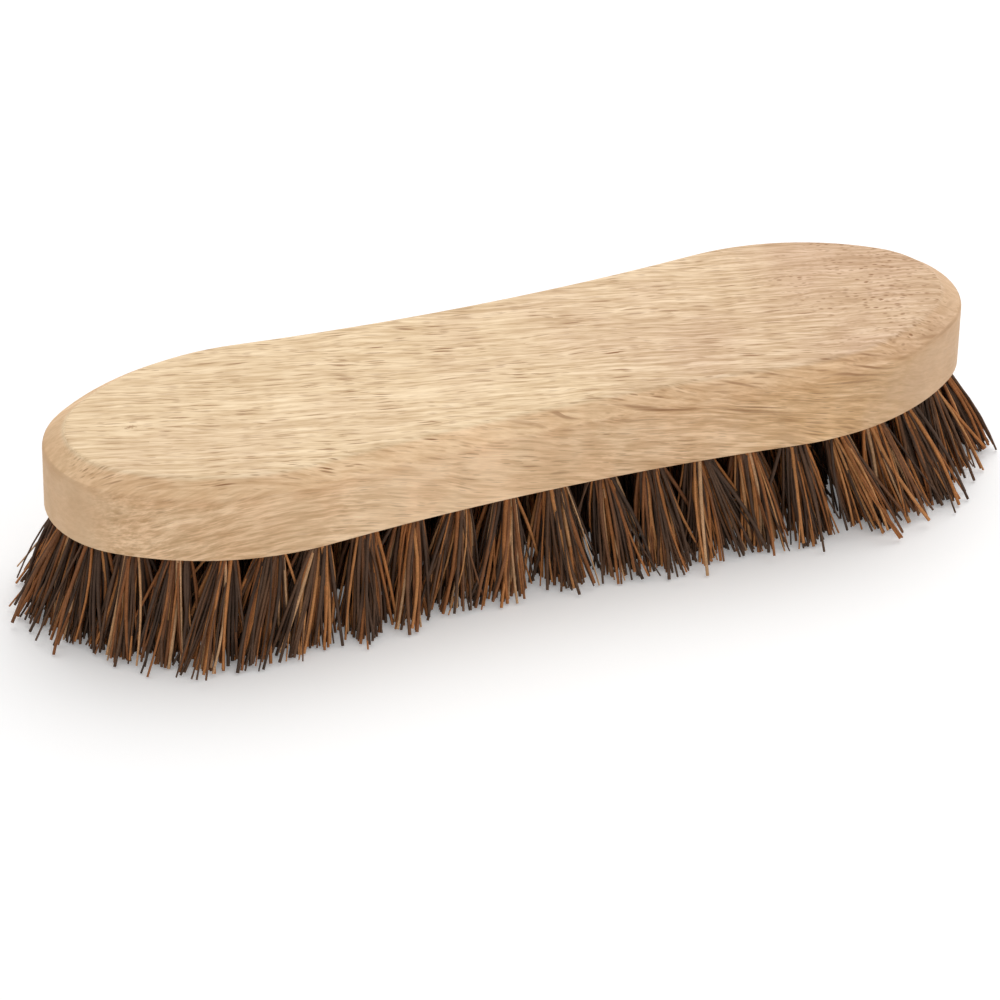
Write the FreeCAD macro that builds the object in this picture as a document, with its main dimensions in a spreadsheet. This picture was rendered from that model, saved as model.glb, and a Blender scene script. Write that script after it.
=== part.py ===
# Scrub brush: a waisted wooden block filled with staple-set tufts of plant fibre.
# It rests on its bristle tips. The origin is on the floor under the middle, X runs along it, Z is up.
import FreeCAD
import Part
import Sketcher
import itertools
import math
import os
import re

# Driving dimensions: alias, value in millimetres or degrees, what it measures.
SIZES = (
    ("block_length", 230.0, "block, from tip to tip"),
    ("lobe_width", 67.0, "block, across its widest lobes"),
    ("waist_depth", 3.5, "block, how far each side is drawn in at the waist"),
    ("block_thickness", 19.5, "block, from underside to back"),
    ("tip_radius", 24.5, "outline, the arc round each end"),
    ("shoulder_radius", 64.0, "outline, the four arcs beside the ends"),
    ("bevel_width", 5.3, "bevel round the back, across"),
    ("bevel_height", 3.6, "bevel round the back, down"),
    ("crease_radius", 1.2, "softened creases above and below the bevel"),
    ("lower_edge_radius", 0.5, "broken edge round the underside"),
    ("bristle_height", 25.5, "bristles, from underside to trimmed tips"),
    ("hole_diameter", 5.5, "tuft hole, drilled diameter"),
    ("back_wall", 3.5, "wood left between the staples' points and the back"),
    ("rim_margin", 6.5, "outline to the centres of the outer holes"),
    ("rim_tilt", 14.0, "outward lean of the outer tufts, in degrees"),
    ("tuft_fit", 0.15, "gap between a tuft and the wall of its hole"),
    ("root_gap", 0.3, "gap between a tuft's fold and the end of its hole"),
    ("fold_radius", 1.4, "tuft, round of its folded root"),
    ("neck_length", 1.5, "tuft, straight part below the underside"),
    ("fan_gap", 0.8, "gap between the fanned tips of the two closest tufts"),
    ("lock_start", 0.4, "tuft, how far its fan widens before it parts into locks of fibre"),
    ("lock_parting", 36.0, "tuft, angle of the gap between two locks, in degrees"),
    ("wire_diameter", 0.8, "staple wire"),
    ("leg_gap", 0.2, "gap between a staple's leg and the wall of its hole"),
    ("crown_depth", 3.0, "end of the hole to the middle of the staple's crown"),
    ("nail_length", 4.0, "staple, length of leg in the wood past the hole"),
    ("wire_bend", 0.7, "staple, bend between crown and leg, to the wire's middle"),
    ("slot_fit", 0.1, "gap between a staple and the fibres round it"),
    ("nail_fit", 0.05, "gap between a staple's leg and the wood round it"),
    ("cut_overrun", 2.0, "how far each cut runs past the face it opens"),
)

# Drilling table: tufts in each row across the block, from a tip to the waist. The other half mirrors it.
ROW_COUNTS = (1, 2, 2, 4, 5, 4, 5, 4, 5, 4, 5, 4)

# Locks of fibre that each tuft parts into towards its tips.
LOCK_COUNT = 8

# Sizes that follow from the driving dimensions.
HALF_WAIST = "(lobe_width / 2 - waist_depth)"
HOLE_DEPTH = "(block_thickness - back_wall - nail_length)"
NAIL_END = f"({HOLE_DEPTH} + nail_length)"
CROWN = f"({HOLE_DEPTH} - crown_depth)"
LEG = "(hole_diameter / 2 - leg_gap - wire_diameter / 2)"

document = FreeCAD.newDocument("scrub_brush")


def write_size(row, alias, value, note):
    """Write one size into a row of the sheet."""
    sheet.set(f"A{row}", note)
    sheet.set(f"B{row}", str(value))
    sheet.setAlias(f"B{row}", alias)


# The features are bound to the sheet's aliases.
sheet = document.addObject("Spreadsheet::Sheet", "Sizes")
for number, entry in enumerate(SIZES, start=1):
    write_size(number, *entry)
document.recompute()


def size(formula):
    """Value of a formula written in the sheet's aliases."""
    return float(sheet.evalExpression(formula))


def bind(target, prop, formula):
    """Bind a property to a formula written in the sheet's aliases."""
    target.setExpression(prop, re.sub(r"[a-z]+(_[a-z]+)+", r"Sizes.\g<0>", formula))


def quarter_arcs(inset):
    """Arcs of a quarter of the outline, from tip to waist, moved in by an inset.

    Each arc is its centre's x and y, its radius and its first and last angles.
    """
    tip = size("tip_radius")
    shoulder = size("shoulder_radius")
    half_waist = size(HALF_WAIST)
    tip_x = size("block_length / 2") - tip
    shoulder_y = size("lobe_width / 2") - shoulder
    shoulder_x = tip_x - math.sqrt((shoulder - tip) ** 2 - shoulder_y ** 2)
    rise = half_waist - shoulder_y
    waist = (shoulder_x ** 2 + rise ** 2 - shoulder ** 2) / (2 * (shoulder - rise))
    waist_y = half_waist + waist
    tip_end = math.atan2(-shoulder_y, tip_x - shoulder_x)
    shoulder_end = math.atan2(waist_y - shoulder_y, -shoulder_x)
    return (
        (tip_x, 0.0, tip - inset, 0.0, tip_end),
        (shoulder_x, shoulder_y, shoulder - inset, tip_end, shoulder_end),
        (0.0, waist_y, waist + inset, shoulder_end - math.pi, -math.pi / 2),
    )


def rim_stations():
    """Outer holes of a quarter of the block, from tip to waist: x, y and the outline's normal there.

    They are spaced so that the tips of the leaning tufts stand evenly along the rim.
    """
    reach = size("bristle_height") * math.tan(math.radians(size("rim_tilt")))
    holes = quarter_arcs(size("rim_margin"))
    tips = quarter_arcs(size("rim_margin") - reach)
    lengths = [radius * abs(last - first) for _, _, radius, first, last in tips]
    steps = len(ROW_COUNTS) - 1
    stations = []
    for step in range(steps + 1):
        distance = sum(lengths) * step / steps
        arc = 0
        while distance > lengths[arc] and arc + 1 < len(lengths):
            distance -= lengths[arc]
            arc += 1
        x, y, radius, first, last = holes[arc]
        angle = first + (last - first) * distance / lengths[arc]
        outward = -1 if holes[arc] is holes[-1] else 1
        cosine, sine = math.cos(angle), math.sin(angle)
        stations.append((x + radius * cosine, y + radius * sine, outward * cosine, outward * sine))
    return stations


class Tuft:
    """Place of one tuft: its hole's mouth, its slope outwards and where its axis meets the floor."""

    def __init__(self, x, y, slope_x, slope_y):
        self.mouth = FreeCAD.Vector(x, y, size("bristle_height"))
        self.axis = FreeCAD.Vector(-slope_x, -slope_y, 1)
        self.tip = self.mouth - self.axis * size("bristle_height")

    def mirrored(self):
        """Same place on the other half of the block."""
        return Tuft(-self.mouth.x, self.mouth.y, self.axis.x, -self.axis.y)


def fill_row(station, count):
    """Evenly spaced tufts of a row across the block, fanned out towards its two outer ones."""
    x, rim_y, normal_x, normal_y = station
    slope = math.tan(math.radians(size("rim_tilt")))
    shares = [2 * index / (count - 1) - 1 for index in range(count)] if count > 1 else [0.0]
    return [Tuft(x, rim_y * share, slope * normal_x, slope * normal_y * share) for share in shares]


def tuft_rows():
    """Rows of tufts from the right tip to the left, as the drilling table counts them."""
    half = [fill_row(station, count) for station, count in zip(rim_stations(), ROW_COUNTS)]
    other_half = [[tuft.mirrored() for tuft in row] for row in reversed(half[:-1])]
    return half + other_half


def fan_out(rows):
    """Write how wide the tufts fan at their tips: as wide as the two closest ones leave room for."""
    tips = [tuft.tip for row in rows for tuft in row]
    closest = min(one.distanceToPoint(other) for one, other in itertools.combinations(tips, 2))
    write_size(len(SIZES) + 1, "tip_diameter", closest - size("fan_gap"), "tuft, across its fanned tips")
    document.recompute()


def new_body(name):
    """Empty solid body."""
    return document.addObject("PartDesign::Body", name)


def new_sketch(body, name, plane):
    """Sketch on one of the body's own origin planes."""
    sketch = body.newObject("Sketcher::SketchObject", name)
    support = [item for item in body.Origin.OriginFeatures if item.Role == plane]
    sketch.AttachmentSupport = [(support[0], "")]
    sketch.MapMode = "FlatFace"
    return sketch


def dimension(sketch, terms, formula):
    """Add a dimension to a sketch and bind it to a formula."""
    index = sketch.addConstraint(Sketcher.Constraint(*terms, size(formula)))
    bind(sketch, f"Constraints[{index}]", formula)


def pin(sketch, geometry, point, x_formula, y_formula):
    """Dimension one point of a sketch from the origin by two formulas."""
    for kind, axis, formula in (("DistanceX", -2, x_formula), ("DistanceY", -1, y_formula)):
        if formula == "0":
            sketch.addConstraint(Sketcher.Constraint("PointOnObject", geometry, point, axis))
        else:
            dimension(sketch, (kind, -1, 1, geometry, point), formula)


def draw_polygon(sketch, corners):
    """Closed polygon whose corners are pairs of formulas."""
    points = [FreeCAD.Vector(size(x), size(y), 0) for x, y in corners]
    for index, point in enumerate(points):
        sketch.addGeometry(Part.LineSegment(point, points[(index + 1) % len(points)]), False)
    for index, (x, y) in enumerate(corners):
        following = (index + 1) % len(corners)
        sketch.addConstraint(Sketcher.Constraint("Coincident", index, 2, following, 1))
        pin(sketch, index, 1, x, y)


def draw_circle(sketch, x, y, radius):
    """Circle whose centre and radius are formulas."""
    centre = FreeCAD.Vector(size(x), size(y), 0)
    circle = sketch.addGeometry(Part.Circle(centre, FreeCAD.Vector(0, 0, 1), size(radius)), False)
    pin(sketch, circle, 3, x, y)
    dimension(sketch, ("Radius", circle), radius)


def draw_outline(sketch):
    """Waisted outline of eight tangent arcs: a tip, two shoulders and a waist on each half."""
    tip, shoulder, waist = quarter_arcs(0.0)
    turn = math.pi

    def add_arc(arc, x_sign, y_sign, first, last):
        x, y, radius, _, _ = arc
        circle = Part.Circle(FreeCAD.Vector(x_sign * x, y_sign * y, 0), FreeCAD.Vector(0, 0, 1), radius)
        return sketch.addGeometry(Part.ArcOfCircle(circle, first, last), False)

    tip_end, shoulder_end = shoulder[3:]
    spread = math.pi / 2 + waist[3]
    right_tip = add_arc(tip, 1, 1, -tip_end, tip_end)
    right_back = add_arc(shoulder, 1, 1, tip_end, shoulder_end)
    back_waist = add_arc(waist, 1, 1, -turn / 2 - spread, -turn / 2 + spread)
    left_back = add_arc(shoulder, -1, 1, turn - shoulder_end, turn - tip_end)
    left_tip = add_arc(tip, -1, 1, turn - tip_end, turn + tip_end)
    left_front = add_arc(shoulder, -1, -1, turn + tip_end, turn + shoulder_end)
    front_waist = add_arc(waist, 1, -1, turn / 2 - spread, turn / 2 + spread)
    right_front = add_arc(shoulder, 1, -1, -shoulder_end, -tip_end)

    start, end, centre = 1, 2, 3
    joints = (
        (right_tip, end, right_back, start), (right_back, end, back_waist, end),
        (back_waist, start, left_back, start), (left_back, end, left_tip, start),
        (left_tip, end, left_front, start), (left_front, end, front_waist, end),
        (front_waist, start, right_front, start), (right_front, end, right_tip, start),
    )
    for joint in joints:
        sketch.addConstraint(Sketcher.Constraint("Tangent", *joint))
    equals = (
        (right_tip, left_tip), (back_waist, front_waist),
        (right_back, left_back), (right_back, left_front), (right_back, right_front),
    )
    for pair in equals:
        sketch.addConstraint(Sketcher.Constraint("Equal", *pair))
    for geometry, axis in ((right_tip, -1), (left_tip, -1), (back_waist, -2), (front_waist, -2)):
        sketch.addConstraint(Sketcher.Constraint("PointOnObject", geometry, centre, axis))

    waist_point = sketch.addGeometry(Part.Point(FreeCAD.Vector(0, size(HALF_WAIST), 0)), True)
    sketch.addConstraint(Sketcher.Constraint("PointOnObject", waist_point, 1, back_waist))
    pin(sketch, waist_point, 1, "0", HALF_WAIST)

    dimensions = (
        (("Radius", right_tip), "tip_radius"),
        (("Radius", right_back), "shoulder_radius"),
        (("DistanceX", -1, 1, right_tip, centre), "block_length / 2 - tip_radius"),
        (("DistanceX", left_tip, centre, -1, 1), "block_length / 2 - tip_radius"),
        (("DistanceY", right_back, centre, -1, 1), "shoulder_radius - lobe_width / 2"),
        (("DistanceY", -1, 1, right_front, centre), "shoulder_radius - lobe_width / 2"),
    )
    for terms, formula in dimensions:
        dimension(sketch, terms, formula)


def level_edges(shape, height):
    """Names of the edges that lie level at a height."""
    names = []
    for index, edge in enumerate(shape.Edges, start=1):
        middle = edge.valueAt((edge.FirstParameter + edge.LastParameter) / 2)
        levels = [middle.z] + [vertex.Z for vertex in edge.Vertexes]
        if all(math.isclose(level, height, abs_tol=Part.Precision.approximation()) for level in levels):
            names.append(f"Edge{index}")
    return names


def make_block():
    """Shaped wooden block before drilling: padded outline, bevel round the back, softened edges."""
    body = new_body("shaped_block")
    outline = new_sketch(body, "block_outline", "XY_Plane")
    draw_outline(outline)
    pad = body.newObject("PartDesign::Pad", "block_pad")
    pad.Profile = outline
    bind(pad, "Length", "block_thickness")
    document.recompute()

    bevel = body.newObject("PartDesign::Chamfer", "back_bevel")
    bevel.Base = (pad, level_edges(pad.Shape, size("block_thickness")))
    bevel.ChamferType = "Two distances"
    bind(bevel, "Size", "bevel_height")
    bind(bevel, "Size2", "bevel_width")
    document.recompute()

    soft = body.newObject("PartDesign::Fillet", "soft_creases")
    upper_crease = level_edges(bevel.Shape, size("block_thickness"))
    lower_crease = level_edges(bevel.Shape, size("block_thickness - bevel_height"))
    if not lower_crease:
        raise RuntimeError("the bevel lies the wrong way round")
    soft.Base = (bevel, upper_crease + lower_crease)
    bind(soft, "Radius", "crease_radius")
    document.recompute()

    edge = body.newObject("PartDesign::Fillet", "broken_edge")
    edge.Base = (soft, level_edges(soft.Shape, 0.0))
    bind(edge, "Radius", "lower_edge_radius")
    bind(body, ".Placement.Base.z", "bristle_height")
    return body


def make_hole():
    """Cutter for one tuft hole, with its mouth at zero."""
    hole = document.addObject("Part::Cylinder", "hole_cutter")
    bind(hole, "Radius", "hole_diameter / 2")
    bind(hole, "Height", f"{HOLE_DEPTH} + cut_overrun")
    bind(hole, ".Placement.Base.z", "-cut_overrun")
    return gather("tuft_hole_cutter", [hole])


def make_nails():
    """Cutters for the two holes that a staple's legs make past the end of a tuft hole."""
    cutters = []
    for name, x in (("first_nail_cutter", LEG), ("second_nail_cutter", f"-{LEG}")):
        nail = document.addObject("Part::Cylinder", name)
        bind(nail, "Radius", "wire_diameter / 2 + nail_fit")
        bind(nail, "Height", "crown_depth + nail_length")
        bind(nail, ".Placement.Base.x", x)
        bind(nail, ".Placement.Base.z", CROWN)
        cutters.append(nail)
    return gather("nail_cutters", cutters)


def make_tuft():
    """One untrimmed tuft: folded root, slot for its staple, straight neck and a fan parted into locks."""
    body = new_body("tuft_blank")
    profile = new_sketch(body, "tuft_profile", "XZ_Plane")
    plug = "(hole_diameter / 2 - tuft_fit)"
    root = f"({HOLE_DEPTH} - root_gap)"
    blank = "(bristle_height / cos(rim_tilt * 1 deg) + tip_diameter + cut_overrun)"
    fan = f"(tip_diameter / 2 - {plug}) / (bristle_height - neck_length)"
    draw_polygon(profile, (
        ("0", root),
        (plug, root),
        (plug, "-neck_length"),
        (f"{plug} + {fan} * ({blank} - neck_length)", f"-{blank}"),
        ("0", f"-{blank}"),
    ))
    turned = body.newObject("PartDesign::Revolution", "tuft_turned")
    turned.Profile = profile
    turned.ReferenceAxis = (profile, ["V_Axis"])
    document.recompute()

    fold = body.newObject("PartDesign::Fillet", "tuft_fold")
    fold.Base = (turned, level_edges(turned.Shape, size(root)))
    bind(fold, "Radius", "fold_radius")

    band = new_sketch(body, "staple_band", "XZ_Plane")
    half_slot = "(wire_diameter / 2 + slot_fit)"
    wide = f"({LEG} + {half_slot})"
    narrow = f"({LEG} - {half_slot})"
    low = f"{CROWN} - {half_slot}"
    high = f"{CROWN} + {half_slot}"
    top = f"{HOLE_DEPTH} + cut_overrun"
    draw_polygon(band, (
        (f"-{wide}", top), (f"-{wide}", low), (wide, low), (wide, top),
        (narrow, top), (narrow, high), (f"-{narrow}", high), (f"-{narrow}", top),
    ))
    slot = body.newObject("PartDesign::Pocket", "staple_slot")
    slot.Profile = band
    slot.Midplane = True
    bind(slot, "Length", f"2 * {half_slot}")
    document.recompute()
    if slot.Shape.Volume >= fold.Shape.Volume:
        raise RuntimeError("the staple's slot cuts nothing")

    wedge = new_sketch(body, "parting_wedge", "XY_Plane")
    middle = f"({plug} + lock_start)"
    outside = f"({plug} + {fan} * ({blank} - neck_length) + cut_overrun)"
    half_gap = f"(({outside} - {middle}) * tan(lock_parting / 2 * 1 deg))"
    draw_polygon(wedge, ((middle, "0"), (outside, half_gap), (outside, f"-{half_gap}")))
    bind(wedge, ".AttachmentOffset.Base.z", "-neck_length")
    document.recompute()
    gap = body.newObject("PartDesign::Pocket", "lock_gap")
    gap.Profile = wedge
    bind(gap, "Length", blank)
    document.recompute()
    if gap.Shape.Volume >= slot.Shape.Volume:
        raise RuntimeError("the gap between two locks cuts nothing")
    locks = body.newObject("PartDesign::PolarPattern", "tuft_locks")
    locks.Originals = [gap]
    locks.Axis = (wedge, ["N_Axis"])
    locks.Occurrences = LOCK_COUNT
    body.Tip = locks
    document.recompute()
    return body


def make_staple():
    """One wire staple: a crown across the tuft's fold and two legs nailed into the wood."""
    body = new_body("staple_wire")
    path = new_sketch(body, "staple_path", "XZ_Plane")
    leg, crown, ends, bend = (size(formula) for formula in (LEG, CROWN, NAIL_END, "wire_bend"))

    def line(first_x, first_y, last_x, last_y):
        ends_of_line = FreeCAD.Vector(first_x, first_y, 0), FreeCAD.Vector(last_x, last_y, 0)
        return path.addGeometry(Part.LineSegment(*ends_of_line), False)

    def corner(x, first, last):
        circle = Part.Circle(FreeCAD.Vector(x, crown + bend, 0), FreeCAD.Vector(0, 0, 1), bend)
        return path.addGeometry(Part.ArcOfCircle(circle, first, last), False)

    right_leg = line(leg, ends, leg, crown + bend)
    right_bend = corner(leg - bend, -math.pi / 2, 0)
    cross = line(leg - bend, crown, bend - leg, crown)
    left_bend = corner(bend - leg, math.pi, 3 * math.pi / 2)
    left_leg = line(-leg, crown + bend, -leg, ends)
    start, end = 1, 2
    joints = (
        (right_leg, end, right_bend, end), (right_bend, start, cross, start),
        (cross, end, left_bend, end), (left_bend, start, left_leg, start),
    )
    for joint in joints:
        path.addConstraint(Sketcher.Constraint("Tangent", *joint))
    path.addConstraint(Sketcher.Constraint("Vertical", right_leg))
    path.addConstraint(Sketcher.Constraint("Vertical", left_leg))
    path.addConstraint(Sketcher.Constraint("Equal", right_bend, left_bend))
    pin(path, right_leg, start, LEG, NAIL_END)
    pin(path, left_leg, end, f"-{LEG}", NAIL_END)
    dimension(path, ("Radius", right_bend), "wire_bend")
    dimension(path, ("DistanceY", -1, 1, cross, start), CROWN)

    section = new_sketch(body, "wire_section", "XY_Plane")
    draw_circle(section, LEG, "0", "wire_diameter / 2")
    bind(section, ".AttachmentOffset.Base.z", NAIL_END)
    document.recompute()
    wire = body.newObject("PartDesign::AdditivePipe", "bent_wire")
    wire.Profile = section
    wire.Spine = path
    return body


def place_copy(original, name, tuft):
    """Copy of an original at a tuft's place: its mouth on the underside, along the tuft's axis."""
    copy = document.addObject("App::Link", name)
    copy.LinkedObject = original
    turn = FreeCAD.Rotation(FreeCAD.Vector(0, 0, 1), tuft.axis)
    copy.LinkPlacement = FreeCAD.Placement(tuft.mouth, turn)
    return copy


def make_floor():
    """Slab below the floor that trims the tufts level."""
    floor = document.addObject("Part::Box", "trim_slab")
    for prop, formula in (
        ("Length", "2 * block_length"),
        ("Width", "2 * block_length"),
        ("Height", "2 * bristle_height + 2 * tip_diameter"),
        (".Placement.Base.x", "-block_length"),
        (".Placement.Base.y", "-block_length"),
        (".Placement.Base.z", "-2 * bristle_height - 2 * tip_diameter"),
    ):
        bind(floor, prop, formula)
    return floor


def gather(name, items):
    """Group of separate shapes."""
    group = document.addObject("Part::Compound", name)
    group.Links = items
    return group


def cut(label, base, tool):
    """Base less tool, as a labelled sub-part."""
    result = document.addObject("Part::Cut", label)
    result.Base = base
    result.Tool = tool
    result.Label = label
    return result


def build():
    """Make every sub-part and return them in order."""
    rows = tuft_rows()
    fan_out(rows)
    block = make_block()
    hole = make_hole()
    nails = make_nails()
    blank = make_tuft()
    wire = make_staple()
    floor = make_floor()
    document.recompute()
    holes = []
    nail_holes = []
    subparts = []
    for number, row in enumerate(rows, start=1):
        tufts = []
        staples = []
        for index, tuft in enumerate(row, start=1):
            ending = f"{number:02d}_{index}"
            holes.append(place_copy(hole, f"hole_{ending}", tuft))
            nail_holes.append(place_copy(nails, f"nail_holes_{ending}", tuft))
            tufts.append(place_copy(blank, f"tuft_{ending}", tuft))
            staples.append(place_copy(wire, f"staple_{ending}", tuft))
        subparts.append(cut(f"tuft_row_{number:02d}", gather(f"untrimmed_row_{number:02d}", tufts), floor))
        subparts.append(gather(f"staple_row_{number:02d}", staples))
    drilled = cut("drilled_block", block, gather("tuft_holes", holes))
    subparts.insert(0, cut("wooden_block", drilled, gather("nail_holes", nail_holes)))
    document.recompute()
    return subparts


def check(subparts):
    """Stop if a feature failed or a sub-part has no valid solid."""
    failed = [item.Name for item in document.Objects if {"Invalid", "Error"} & set(item.State)]
    if failed:
        raise RuntimeError(f"failed features: {failed}")
    for part in subparts:
        if part.Shape.isNull() or not part.Shape.isValid() or not part.Shape.Solids:
            raise RuntimeError(f"{part.Label} has no valid solid")


def export(subparts):
    """Write each sub-part to a file named after it."""
    os.makedirs("parts", exist_ok=True)
    for part in subparts:
        part.Shape.exportStep(f"parts/{part.Label}.step")
        print(part.Label, len(part.Shape.Solids), "solids,", round(part.Shape.Volume, 1), "mm3")


pieces = build()
check(pieces)
export(pieces)
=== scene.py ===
"""Scrub brush: a waisted wooden block with stapled tufts of stiff plant fibre, standing on its tips."""

import logging
import math
from dataclasses import astuple, dataclass
from enum import Enum
from typing import Any

import bpy
import numpy as np
from mathutils import Matrix, Vector


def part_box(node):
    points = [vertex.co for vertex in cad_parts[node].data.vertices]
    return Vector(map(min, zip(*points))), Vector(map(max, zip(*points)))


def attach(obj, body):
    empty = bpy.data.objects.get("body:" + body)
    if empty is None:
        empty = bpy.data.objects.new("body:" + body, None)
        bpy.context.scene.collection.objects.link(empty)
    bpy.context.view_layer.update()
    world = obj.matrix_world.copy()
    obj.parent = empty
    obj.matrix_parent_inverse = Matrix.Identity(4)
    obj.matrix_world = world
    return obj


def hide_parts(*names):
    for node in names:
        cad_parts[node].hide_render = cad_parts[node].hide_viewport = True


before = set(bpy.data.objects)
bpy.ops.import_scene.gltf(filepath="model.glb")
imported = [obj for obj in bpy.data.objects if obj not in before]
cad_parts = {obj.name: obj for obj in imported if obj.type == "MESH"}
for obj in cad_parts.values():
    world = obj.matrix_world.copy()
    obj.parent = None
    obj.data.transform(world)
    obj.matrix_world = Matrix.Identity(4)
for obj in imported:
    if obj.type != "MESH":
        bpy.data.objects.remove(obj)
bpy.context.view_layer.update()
log = logging.getLogger("scrub_brush")

Colour = tuple[float, float, float]
Socket = bpy.types.NodeSocket
MM = 0.001
GOLDEN_TURN = math.pi * (3 - math.sqrt(5))


class FibreTone(Enum):
    """Colours of single fibres, each with the share of fibres that have a darker tone."""

    BLACK_BROWN = (0.00, (0.084, 0.053, 0.038))
    DARK_BROWN = (0.28, (0.120, 0.070, 0.046))
    BROWN = (0.48, (0.158, 0.084, 0.049))
    RUST = (0.65, (0.305, 0.120, 0.047))
    ORANGE = (0.82, (0.520, 0.208, 0.070))
    TAN = (0.95, (0.590, 0.290, 0.120))
    STRAW = (0.99, (0.630, 0.375, 0.200))


class LampRole(Enum):
    """Studio lamps: where each stands, its width and its power in watts."""

    BACK_KEY = ((0.45, 0.66, 1.32), 1.60, 14.4)
    FRONT_FILL = ((0.25, -1.75, 0.80), 1.40, 4.2)


@dataclass(frozen=True)
class Span:
    """A smooth change from a first to a last value between two places, level beyond them."""

    start: float
    end: float
    first: float = 0.0
    last: float = 1.0


@dataclass(frozen=True)
class Patches:
    """Soft uneven patches: their size in millimetres and the values that they range over."""

    size: float
    low: float
    high: float


@dataclass(frozen=True)
class Lines:
    """Lengthwise lines: sizes in millimetres, contrast, and the values that they range over."""

    length: float
    width: float
    contrast: float
    low: float = 0.0
    high: float = 1.0


@dataclass(frozen=True)
class Marks:
    """Spindle-shaped marks: room for each in millimetres, and the share of places left empty."""

    length: float
    width: float
    empty: float


@dataclass(frozen=True)
class Wave:
    """How grain wavers: length, width and reach of the waves in millimetres, and their detail."""

    length: float
    width: float
    reach: float
    detail: float


class Graph:
    """A node tree with short calls for the nodes that the finishes and bristles are made of."""

    def __init__(self, tree: bpy.types.NodeTree) -> None:
        """Wrap a node tree, which starts empty."""
        self.tree = tree
        self.tree.nodes.clear()

    def add(self, kind: str, **settings: Any) -> bpy.types.Node:
        """Add a node.

        Args:
            kind: The node's type name.
            settings: Properties of the node, set before its sockets are used.

        Returns:
            The new node.
        """
        node = self.tree.nodes.new(kind)
        for name, value in settings.items():
            setattr(node, name, value)
        return node

    def feed(self, socket: Socket, value: Any) -> None:
        """Link a socket to another node's output, or set its constant.

        Args:
            socket: The input socket.
            value: An output socket, a number, a vector, a colour or a name.
        """
        if isinstance(value, Socket):
            self.tree.links.new(value, socket)
        elif isinstance(value, tuple) and socket.type == "RGBA":
            socket.default_value = (*value, 1.0)
        else:
            socket.default_value = value

    def call(self, kind: str, inputs: dict[Any, Any], out: Any = 0, **settings: Any) -> Socket:
        """Add a node, feed its inputs and give one of its outputs.

        Args:
            kind: The node's type name.
            inputs: Value of each input, by index or name.
            out: Index or name of the output.
            settings: Properties of the node.

        Returns:
            The output socket.
        """
        node = self.add(kind, **settings)
        for key, value in inputs.items():
            self.feed(node.inputs[key], value)
        return node.outputs[out]

    def math(self, operation: str, first: Any, *others: Any, clamp: bool = False) -> Socket:
        """Combine numbers, in turn where there are more than two.

        Args:
            operation: What to do with them.
            first: The first number.
            others: The other numbers, of which some operations need none.
            clamp: Whether each result is kept between zero and one.

        Returns:
            The result.
        """
        for other in others or (0.0,):
            pair = {0: first, 1: other}
            first = self.call("ShaderNodeMath", pair, operation=operation, use_clamp=clamp)
        return first

    def vector(self, operation: str, first: Any, *others: Any) -> Socket:
        """Combine vectors, in turn where there are more than two.

        Args:
            operation: What to do with them.
            first: The first vector.
            others: The other vectors, of which some operations need none.

        Returns:
            The result.
        """
        for other in others or ((0.0, 0.0, 0.0),):
            first = self.call("ShaderNodeVectorMath", {0: first, 1: other}, operation=operation)
        return first

    def measure(self, operation: str, first: Any, second: Any = (0.0, 0.0, 0.0)) -> Socket:
        """A number worked out from vectors."""
        return self.call("ShaderNodeVectorMath", {0: first, 1: second}, out="Value", operation=operation)

    def scaled(self, vector: Any, factor: Any) -> Socket:
        """Multiply a vector by a number."""
        return self.call("ShaderNodeVectorMath", {0: vector, "Scale": factor}, operation="SCALE")

    def combine(self, x: Any, y: Any, z: Any) -> Socket:
        """Make a vector of three numbers."""
        return self.call("ShaderNodeCombineXYZ", {0: x, 1: y, 2: z})

    def split(self, vector: Any) -> tuple[Socket, ...]:
        """Take a vector apart.

        Args:
            vector: The vector.

        Returns:
            Its three numbers.
        """
        node = self.add("ShaderNodeSeparateXYZ")
        self.feed(node.inputs[0], vector)
        return tuple(node.outputs)

    def ease(self, value: Any, low: Any, high: Any, to_low: Any = 0.0, to_high: Any = 1.0) -> Socket:
        """Map a number smoothly from one range to another, clamped."""
        ranges = {0: value, 1: low, 2: high, 3: to_low, 4: to_high}
        return self.call("ShaderNodeMapRange", ranges, interpolation_type="SMOOTHSTEP")

    def span(self, value: Any, span: Span) -> Socket:
        """Map a number as a span says."""
        return self.ease(value, *astuple(span))

    def between(self, factor: Any, first: Any, second: Any) -> Socket:
        """A number between two others."""
        return self.call("ShaderNodeMix", {0: factor, 2: first, 3: second})

    def mix(self, factor: Any, first: Any, second: Any, blend: str = "MIX") -> Socket:
        """Mix two colours."""
        colours = {0: factor, 6: first, 7: second}
        return self.call("ShaderNodeMix", colours, out=2, data_type="RGBA", blend_type=blend)

    def noise(self, vector: Any, detail: float, rough: float = 0.5, out: Any = 0) -> Socket:
        """Cloudy noise around one half."""
        inputs = {"Vector": vector, "Scale": 1.0, "Detail": detail, "Roughness": rough}
        return self.call("ShaderNodeTexNoise", inputs, out=out)


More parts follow.
